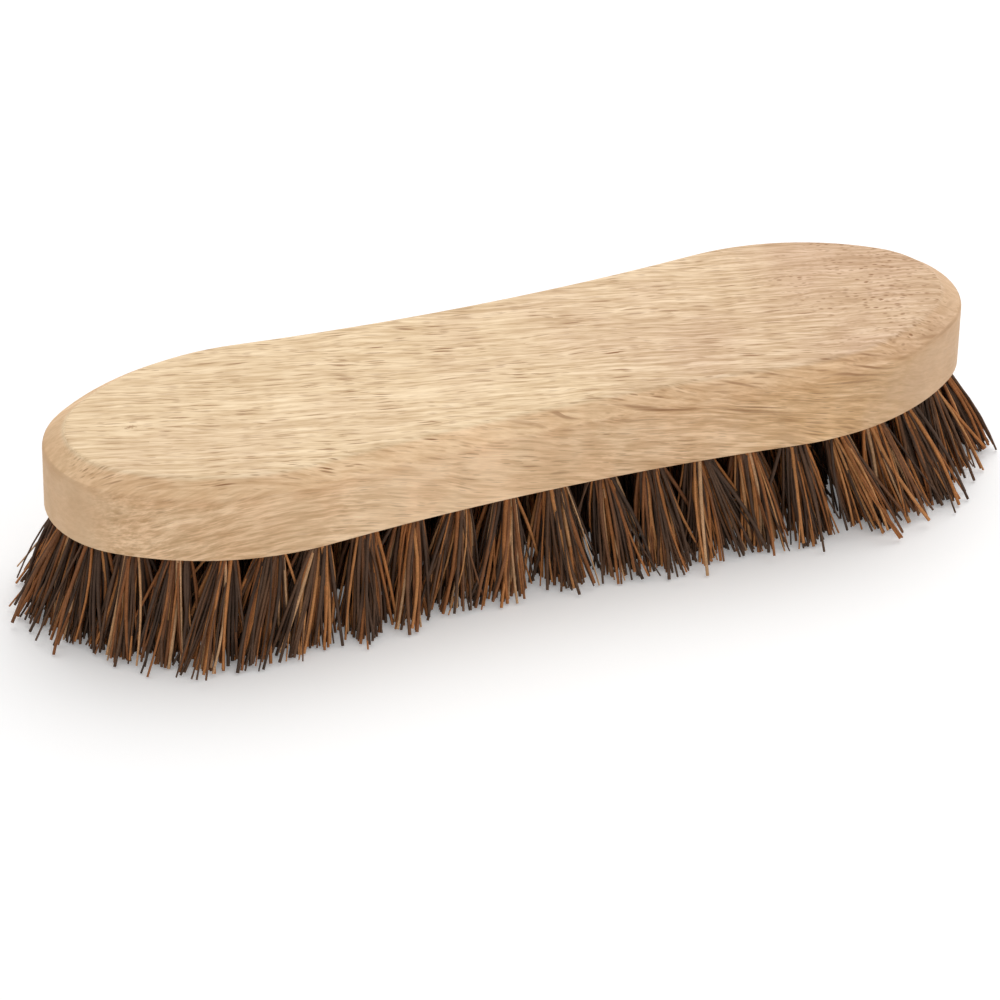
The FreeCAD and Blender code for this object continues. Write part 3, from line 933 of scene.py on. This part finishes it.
@dataclass
class TuftRows:
    """Rows of fanned fibre tufts that stand for the CAD rows. Sizes in metres, angles in radians."""

    prefix: str = "tuft_row_"
    slot: str = "plant_fibre"
    fibres: int = 116
    locks: int = 8
    gather: float = 0.5
    root_depth: float = 11.0 * MM
    hole_radius: float = 2.35 * MM
    fan_radius: float = 7.2 * MM
    fan_share: tuple[float, float] = (0.5, 1.15)
    turn_slack: float = 0.3
    swing_slack: float = 0.4
    wander: float = 2.4 * MM
    lean: float = 2.6 * MM
    lean_across: float = 0.4
    lock_lean: float = 2.8 * MM
    lock_across: float = 0.6
    sweep: float = 5.5 * MM
    sweep_from: float = 58.0 * MM
    fibre_radius: float = 0.38 * MM
    girth_share: tuple[float, float] = (0.6, 1.45)
    taper: Span = Span(0.2, 1.0, 1.0, 0.78)  # along the free length
    bow: float = 1.4 * MM
    ragged: float = 1.6 * MM
    ragged_power: float = 2.2
    stray: float = 2.8 * MM
    stray_share: float = 0.08
    stray_reach: tuple[float, float] = (0.4, 1.0)
    stray_lift: float = 0.7
    stray_lean: float = 2.5
    own_tint: tuple[float, float] = (-0.15, 0.82)
    lock_tint: tuple[float, float] = (-0.05, 0.36)
    sides: int = 5
    joints: int = 7
    seed: int = 11
    row_seeds: int = 100

    # How a tuft's tip and neck are found in its CAD row.
    digits: int = 7
    tip_slice: float = 0.1 * MM
    neck_below: float = 1.5 * MM
    neck_slice: float = 1.2 * MM

    # Each fibre's strip of the flat map: its half width, start and length, and the bands of the map.
    strip_half: float = 0.4
    strip_turn: float = 0.35
    strip_start: float = 0.04
    strip_length: float = 0.92
    bands: float = 5.0

    def build(self, effects: SurfaceEffects) -> list[bpy.types.Object]:
        """Make every row.

        Args:
            effects: The shared node groups.

        Returns:
            One object for each row.
        """
        fibre = PlantFibre().material(effects)
        tree = self._tree(fibre)
        names = sorted(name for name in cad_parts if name.startswith(self.prefix))
        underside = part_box("wooden_block")[0].z
        rows = []
        for number, name in enumerate(names, start=1):
            mouths, tips = self._places(name, underside)
            row = self._grow(tree, name.replace("tuft", "bristle"), mouths, tips, number)
            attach(row, "root")
            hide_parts(name)
            rows.append(row)
        return rows

    def _places(self, name: str, underside: float) -> tuple[np.ndarray, np.ndarray]:
        """Where the tufts of a CAD row leave the block and where their axes meet the floor.

        Args:
            name: The CAD node.
            underside: Height of the block's underside.

        Returns:
            The mouths and the tips, a row of three coordinates for each tuft.
        """
        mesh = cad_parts[name].data
        points = np.array([vertex.co for vertex in mesh.vertices])
        tuft_of = self._tufts(points, np.array([face.vertices[:] for face in mesh.polygons]))
        mouths = []
        tips = []
        for tuft in np.unique(tuft_of):
            own = points[tuft_of == tuft]
            height = own[:, 2]
            tip = self._middle(own[height < height.min() + self.tip_slice])
            neck = self._middle(own[np.abs(height - underside + self.neck_below) < self.neck_slice])
            mouth = tip + (neck - tip) * underside / neck[2]
            tip[0] = mouth[0] + self._swept(mouth[0], tip[0] - mouth[0])
            mouths.append(mouth)
            tips.append(tip)
        return np.array(mouths), np.array(tips)

    def _tufts(self, points: np.ndarray, corners: np.ndarray) -> np.ndarray:
        """Tell the separate tufts of a row apart.

        Args:
            points: Places of the mesh's vertices.
            corners: The three vertices of each face.

        Returns:
            A number for each vertex, the same all over its tuft.
        """
        _, same = np.unique(np.round(points, self.digits), axis=0, return_inverse=True)
        label = np.arange(same.max() + 1)
        links = same.ravel()[corners]
        settled = False
        while not settled:
            before = label.copy()
            np.minimum.at(label, links.ravel(), np.repeat(label[links].min(axis=1), 3))
            label = label[label]
            settled = np.array_equal(before, label)
        return label[same.ravel()]

    def _swept(self, along: float, own: float) -> float:
        """How far a tuft's tip stands off its mouth lengthwise, swept outwards from the brush's middle.

        Args:
            along: The mouth's distance to the right of the middle.
            own: The tip's offset in the CAD row.

        Returns:
            The larger of that offset and the sweep.
        """
        swept = self.sweep * math.sin(max(-1.0, min(1.0, along / self.sweep_from)) * math.pi / 2)
        return swept if abs(swept) > abs(own) else own

    def _middle(self, points: np.ndarray) -> np.ndarray:
        """Middle of the box round some points."""
        return (points.min(axis=0) + points.max(axis=0)) / 2

    def _sizes(self, number: int) -> dict[str, float]:
        """The fibre tree's inputs for one row.

        Args:
            number: The row's number, which sets its seed.

        Returns:
            Each value by the name of its input.
        """
        return {
            "Fibres": self.fibres,
            "Root Depth": self.root_depth,
            "Hole Radius": self.hole_radius,
            "Fan Radius": self.fan_radius,
            "Wander": self.wander,
            "Lean": self.lean,
            "Lock Lean": self.lock_lean,
            "Fibre Radius": self.fibre_radius,
            "Bow": self.bow,
            "Ragged": self.ragged,
            "Stray": self.stray,
            "Stray Share": self.stray_share,
            "Seed": self.seed * self.row_seeds + number,
        }

    def _grow(
        self, tree: bpy.types.NodeTree, name: str, mouths: np.ndarray, tips: np.ndarray, number: int
    ) -> bpy.types.Object:
        """Grow the fibres of one row and keep them as a plain mesh.

        Args:
            tree: The fibre tree.
            name: The row's name.
            mouths: Where the tufts leave the block.
            tips: Where their axes meet the floor.
            number: The row's number.

        Returns:
            The row's object.
        """
        places = bpy.data.meshes.new(name + "_places")
        places.from_pydata([tuple(mouth) for mouth in mouths], [], [])
        floor_points = places.attributes.new("floor_point", "FLOAT_VECTOR", "POINT")
        floor_points.data.foreach_set("vector", tips.ravel())
        holder = bpy.data.objects.new(name, places)
        bpy.context.scene.collection.objects.link(holder)
        modifier = holder.modifiers.new("fibres", "NODES")
        modifier.node_group = tree
        sizes = self._sizes(number)
        for item in tree.interface.items_tree:
            if item.name in sizes:
                modifier[item.identifier] = sizes[item.name]
        bpy.context.view_layer.update()
        grown = holder.evaluated_get(bpy.context.evaluated_depsgraph_get())
        mesh = bpy.data.meshes.new_from_object(grown)
        holder.modifiers.clear()
        mesh.name = name
        holder.data = mesh
        bpy.data.meshes.remove(places)
        return holder

    def _tree(self, fibre: bpy.types.Material) -> bpy.types.NodeTree:
        """Geometry Nodes that turn each tuft's place into a fan of bowed fibres.

        Args:
            fibre: The fibres' material.

        Returns:
            The node tree.
        """
        tree = bpy.data.node_groups.new("fibre_tuft", "GeometryNodeTree")
        tree.interface.new_socket("Geometry", in_out="INPUT", socket_type="NodeSocketGeometry")
        for label, size in self._sizes(0).items():
            kind = "NodeSocketInt" if isinstance(size, int) else "NodeSocketFloat"
            tree.interface.new_socket(label, in_out="INPUT", socket_type=kind)
        tree.interface.new_socket("Geometry", in_out="OUTPUT", socket_type="NodeSocketGeometry")
        graph = FibreGraph(tree)
        copies = graph.add("GeometryNodeDuplicateElements", domain="POINT")
        graph.feed(copies.inputs["Geometry"], graph.given["Geometry"])
        graph.feed(copies.inputs["Amount"], graph.given["Fibres"])
        points = self._aim(graph, copies.outputs["Geometry"], copies.outputs["Duplicate Index"])
        tubes = self._tubes(graph, points)
        solid = graph.call("GeometryNodeRealizeInstances", {"Geometry": tubes})
        dressed = graph.call("GeometryNodeSetMaterial", {"Geometry": solid, "Material": fibre})
        graph.feed(graph.add("NodeGroupOutput").inputs["Geometry"], dressed)
        return tree

    def _aim(self, graph: FibreGraph, points: Any, number: Any) -> Socket:
        """Give each fibre the places of its neck and tip, its bow, girth and tint.

        Args:
            graph: The fibre tree's nodes.
            points: A point for each fibre, at its tuft's mouth.
            number: The fibre's number in its tuft.

        Returns:
            The points with these values stored.
        """
        given = graph.given
        mouth = graph.call("GeometryNodeInputPosition", {})
        floor_point = graph.named("floor_point", "FLOAT_VECTOR")
        golden = graph.math("MULTIPLY", number, GOLDEN_TURN)
        turn = graph.math("ADD", golden, graph.chance(-self.turn_slack, self.turn_slack))
        share = graph.math("DIVIDE", graph.math("ADD", number, 0.5), given["Fibres"])
        spread = graph.math("SQRT", share)
        packed = graph.polar(turn, graph.math("MULTIPLY", spread, given["Hole Radius"]))
        sector = 2 * math.pi / self.locks
        lock = graph.math("FLOOR", graph.math("DIVIDE", turn, sector))
        middle = graph.math("MULTIPLY", graph.math("ADD", lock, 0.5), sector)
        drawn = graph.math("MULTIPLY", graph.math("SUBTRACT", middle, turn), self.gather)
        swing = graph.math("ADD", turn, drawn, graph.chance(-self.swing_slack, self.swing_slack))
        fanned = graph.math("MULTIPLY", spread, given["Fan Radius"], graph.chance(*self.fan_share))
        loose = graph.math("LESS_THAN", graph.chance(0.0, 1.0), given["Stray Share"])
        astray = graph.math("MULTIPLY", loose, given["Stray"], graph.chance(*self.stray_reach))
        uneven = graph.math("POWER", graph.chance(0.0, 1.0), self.ragged_power)
        short = graph.math("MULTIPLY", uneven, given["Ragged"])
        lifted = graph.math("MULTIPLY", astray, self.stray_lift)
        level = graph.math("ADD", short, lifted, given["Fibre Radius"])
        fan = graph.polar(swing, graph.math("ADD", fanned, astray), level)
        axis = graph.vector("NORMALIZE", graph.vector("SUBTRACT", mouth, floor_point))
        bend = graph.scaled(graph.offset(), given["Bow"])
        index = graph.call("GeometryNodeInputIndex", {})
        tuft = graph.math("FLOOR", graph.math("DIVIDE", index, given["Fibres"]))
        own_lock = graph.math("FLOORED_MODULO", lock, float(self.locks))
        own_lock = graph.math("ADD", graph.math("MULTIPLY", tuft, float(self.locks)), own_lock)
        aside = graph.scaled(graph.offset(), given["Wander"])
        together = graph.scaled(graph.offset(self.lean_across, tuft), given["Lean"])
        sideways = graph.scaled(graph.offset(self.lock_across, own_lock), given["Lock Lean"])
        leant = graph.math("MULTIPLY", astray, graph.chance(-self.stray_lean, self.stray_lean))
        across = graph.combine(leant, 0.0, 0.0)
        places = {
            "neck_at": graph.vector("ADD", mouth, packed),
            "tip_at": graph.vector("ADD", floor_point, together, sideways, across, fan, aside),
            "rise": graph.scaled(axis, given["Root Depth"]),
            "bend": bend,
        }
        numbers = {
            "girth": graph.math("MULTIPLY", given["Fibre Radius"], graph.chance(*self.girth_share)),
            "tint": graph.math(
                "ADD", graph.chance(*self.own_tint), graph.chance(*self.lock_tint, own_lock), clamp=True
            ),
            "column": index,
        }
        for label, value in places.items():
            points = graph.store(points, label, value, "FLOAT_VECTOR")
        for label, value in numbers.items():
            points = graph.store(points, label, value)
        return points

    def _tubes(self, graph: FibreGraph, points: Any) -> Socket:
        """Draw each fibre from its root past its neck to its tip, as a tapered tube with a flat map.

        Args:
            graph: The fibre tree's nodes.
            points: A point for each fibre, with its values.

        Returns:
            The tubes.
        """
        line = graph.call("GeometryNodeCurvePrimitiveLine", {}, mode="POINTS")
        strand = graph.call("GeometryNodeResampleCurve", {"Curve": line, "Count": self.joints})
        on_points = graph.call("GeometryNodeInstanceOnPoints", {"Points": points, "Instance": strand})
        strands = graph.call("GeometryNodeRealizeInstances", {"Geometry": on_points})
        factor = graph.call("GeometryNodeSplineParameter", {})
        step = 1.0 / (self.joints - 1)
        free = graph.math("DIVIDE", graph.math("SUBTRACT", factor, step), 1.0 - step, clamp=True)
        inside = graph.math("LESS_THAN", factor, step / 2)
        neck, tip, bend, rise = (
            graph.named(label, "FLOAT_VECTOR") for label in ("neck_at", "tip_at", "bend", "rise")
        )
        way = graph.scaled(graph.vector("SUBTRACT", tip, neck), free)
        bowed = graph.scaled(bend, graph.math("SINE", graph.math("MULTIPLY", free, math.pi)))
        course = graph.vector("ADD", neck, way, bowed, graph.scaled(rise, inside))
        placed = graph.call("GeometryNodeSetPosition", {"Geometry": strands, "Position": course})
        placed = graph.store(placed, "lengthwise", factor)
        circle = {"Resolution": self.sides, "Radius": 1.0}
        ring = graph.call("GeometryNodeCurvePrimitiveCircle", circle, mode="RADIUS")
        ring = graph.store(ring, "around", graph.call("GeometryNodeSplineParameter", {}))
        girth = graph.math("MULTIPLY", graph.named("girth"), graph.span(free, self.taper))
        sweep = {"Curve": placed, "Profile Curve": ring, "Scale": girth, "Fill Caps": True}
        tubes = graph.call("GeometryNodeCurveToMesh", sweep)
        tubes = graph.call("GeometryNodeSetShadeSmooth", {"Geometry": tubes})
        return graph.store(tubes, "OFBake", self._strip(graph), "FLOAT2", "CORNER")

    def _strip(self, graph: FibreGraph) -> Socket:
        """Flat place of each fibre's skin: a strip of its own, in columns and bands.

        Args:
            graph: The fibre tree's nodes.

        Returns:
            The flat coordinates.
        """
        fibres = graph.given["Fibres"]
        column = graph.named("column")
        turned = graph.math("MULTIPLY", graph.named("around"), 2 * math.pi)
        turned = graph.math("ADD", turned, self.strip_turn)
        sideways = graph.math("MULTIPLY", graph.math("COSINE", turned), self.strip_half)
        own = graph.math("ADD", graph.math("MODULO", column, fibres), 0.5, sideways)
        across = graph.math("DIVIDE", own, fibres)
        band = graph.math("FLOOR", graph.math("DIVIDE", column, fibres))
        upward = graph.math("MULTIPLY", graph.named("lengthwise"), self.strip_length)
        along = graph.math("DIVIDE", graph.math("ADD", band, upward, self.strip_start), self.bands)
        return graph.combine(across, along, 0.0)


@dataclass
class Studio:
    """Plain pale floor, soft light and the camera at the photograph's viewing angle. Sizes in metres."""

    floor_side: float = 8.0
    floor_level: float = -0.05 * MM
    floor_white: float = 0.90
    floor_lift: float = 0.18
    far_lift: float = 0.49
    lamp_reach: tuple[float, float] = (0.9, 2.2)
    sky: float = 0.57
    lens: float = 175.52
    sensor: float = 36.0
    clip: tuple[float, float] = (0.05, 50.0)
    target: tuple[float, float, float] = (0.0, 0.0, 35.25 * MM)
    azimuth: float = -23.777
    elevation: float = 31.992
    distance: float = 1145.846 * MM
    roll: float = 1.228
    slide: tuple[float, float] = (-3.218 * MM, -25.884 * MM)

    def build(self) -> list[str]:
        """Set up the floor, the light and the camera.

        Returns:
            Names of what was made.
        """
        bpy.context.scene.view_settings.view_transform = "Standard"
        self._world()
        return [self._floor().name, *[self._lamp(role).name for role in LampRole], self._camera().name]

    def _floor(self) -> bpy.types.Object:
        """Make a square floor.

        Returns:
            The floor.
        """
        half = self.floor_side / 2
        sides = ((-half, -half), (half, -half), (half, half), (-half, half))
        mesh = bpy.data.meshes.new("studio_floor")
        mesh.from_pydata([(*side, self.floor_level) for side in sides], [], [(0, 1, 2, 3)])
        mesh.materials.append(self._floor_white())
        floor = bpy.data.objects.new("studio_floor", mesh)
        bpy.context.scene.collection.objects.link(floor)
        return floor

    def _floor_white(self) -> bpy.types.Material:
        """White that keeps the shadow, stays white far from the lamps and is clear from below.

        Returns:
            The material.
        """
        material = bpy.data.materials.new("floor_white")
        material.use_nodes = True
        graph = Graph(material.node_tree)
        matt = graph.call("ShaderNodeBsdfDiffuse", {"Color": (self.floor_white,) * 3})
        away = graph.measure("LENGTH", graph.call("ShaderNodeTexCoord", {}, out="Object"))
        missing = graph.ease(away, *self.lamp_reach, self.floor_lift, self.far_lift)
        strength = graph.math("MULTIPLY", self._shown(graph), missing)
        lift = graph.call("ShaderNodeEmission", {"Strength": strength})
        lit = graph.call("ShaderNodeAddShader", {0: matt, 1: lift})
        clear = graph.call("ShaderNodeBsdfTransparent", {})
        behind = graph.call("ShaderNodeNewGeometry", {}, out="Backfacing")
        both = graph.call("ShaderNodeMixShader", {0: behind, 1: lit, 2: clear})
        graph.feed(graph.add("ShaderNodeOutputMaterial").inputs["Surface"], both)
        return material

    def _world(self) -> None:
        """Even light from all round, white where the camera or a shiny surface sees it."""
        world = bpy.data.worlds.new("soft_sky")
        bpy.context.scene.world = world
        world.use_nodes = True
        graph = Graph(world.node_tree)
        strength = graph.call("ShaderNodeMapRange", {0: self._shown(graph), 3: self.sky, 4: 1.0})
        light = graph.call("ShaderNodeBackground", {"Color": (1.0, 1.0, 1.0), "Strength": strength})
        graph.feed(graph.add("ShaderNodeOutputWorld").inputs["Surface"], light)

    def _shown(self, graph: Graph) -> Socket:
        """Tell what is seen as background from what only lights the brush.

        Args:
            graph: The nodes of the floor or the world.

        Returns:
            One where the camera, a shiny surface or a clear one sees it, else zero.
        """
        path = graph.add("ShaderNodeLightPath").outputs
        rays = ("Is Camera Ray", "Is Glossy Ray", "Is Transmission Ray")
        return graph.math("MAXIMUM", *(path[ray] for ray in rays))

    def _lamp(self, role: LampRole) -> bpy.types.Object:
        """Make one soft lamp that faces the brush.

        Args:
            role: Which lamp.

        Returns:
            The lamp.
        """
        place, width, power = role.value
        data = bpy.data.lights.new(role.name.lower(), "AREA")
        data.shape = "DISK"
        data.size = width
        data.energy = power
        lamp = bpy.data.objects.new(role.name.lower(), data)
        lamp.location = place
        lamp.rotation_euler = (Vector(self.target) - Vector(place)).to_track_quat("-Z", "Y").to_euler()
        bpy.context.scene.collection.objects.link(lamp)
        return lamp

    def _camera(self) -> bpy.types.Object:
        """Make the camera, rolled and slid as the photograph was taken.

        Returns:
            The camera.
        """
        turn, tilt, roll = (math.radians(angle) for angle in (self.azimuth, self.elevation, self.roll))
        back = Vector((math.sin(turn) * math.cos(tilt), -math.cos(turn) * math.cos(tilt), math.sin(tilt)))
        level = Vector((math.cos(turn), math.sin(turn), 0.0))
        upright = back.cross(level)
        right = level * math.cos(roll) + upright * math.sin(roll)
        up = upright * math.cos(roll) - level * math.sin(roll)
        data = bpy.data.cameras.new("camera")
        data.lens = self.lens
        data.sensor_width = self.sensor
        data.clip_start, data.clip_end = self.clip
        camera = bpy.data.objects.new("camera", data)
        camera.rotation_euler = Matrix((right, up, back)).transposed().to_euler()
        aside = right * self.slide[0] + up * self.slide[1]
        camera.location = Vector(self.target) + back * self.distance + aside
        bpy.context.scene.collection.objects.link(camera)
        bpy.context.scene.camera = camera
        return camera


def dress_node(name: str, material: bpy.types.Material) -> None:
    """Put a finish on a CAD node.

    Args:
        name: The node.
        material: The finish.
    """
    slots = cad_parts[name].material_slots
    if not slots:
        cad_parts[name].data.materials.append(material)
    for slot in slots:
        slot.material = material


def main() -> None:
    """Build the brush and its studio."""
    logging.basicConfig(level=logging.INFO, format="%(message)s")
    effects = SurfaceEffects()
    log.info("dressed %s", WoodenBlock().dress(effects))
    for name in Staples().dress(effects):
        log.info("dressed %s", name)
    for row in TuftRows().build(effects):
        log.info("grew %s, %d faces", row.name, len(row.data.polygons))
    log.info("studio: %s", ", ".join(Studio().build()))


if __name__ == "__main__":
    main()
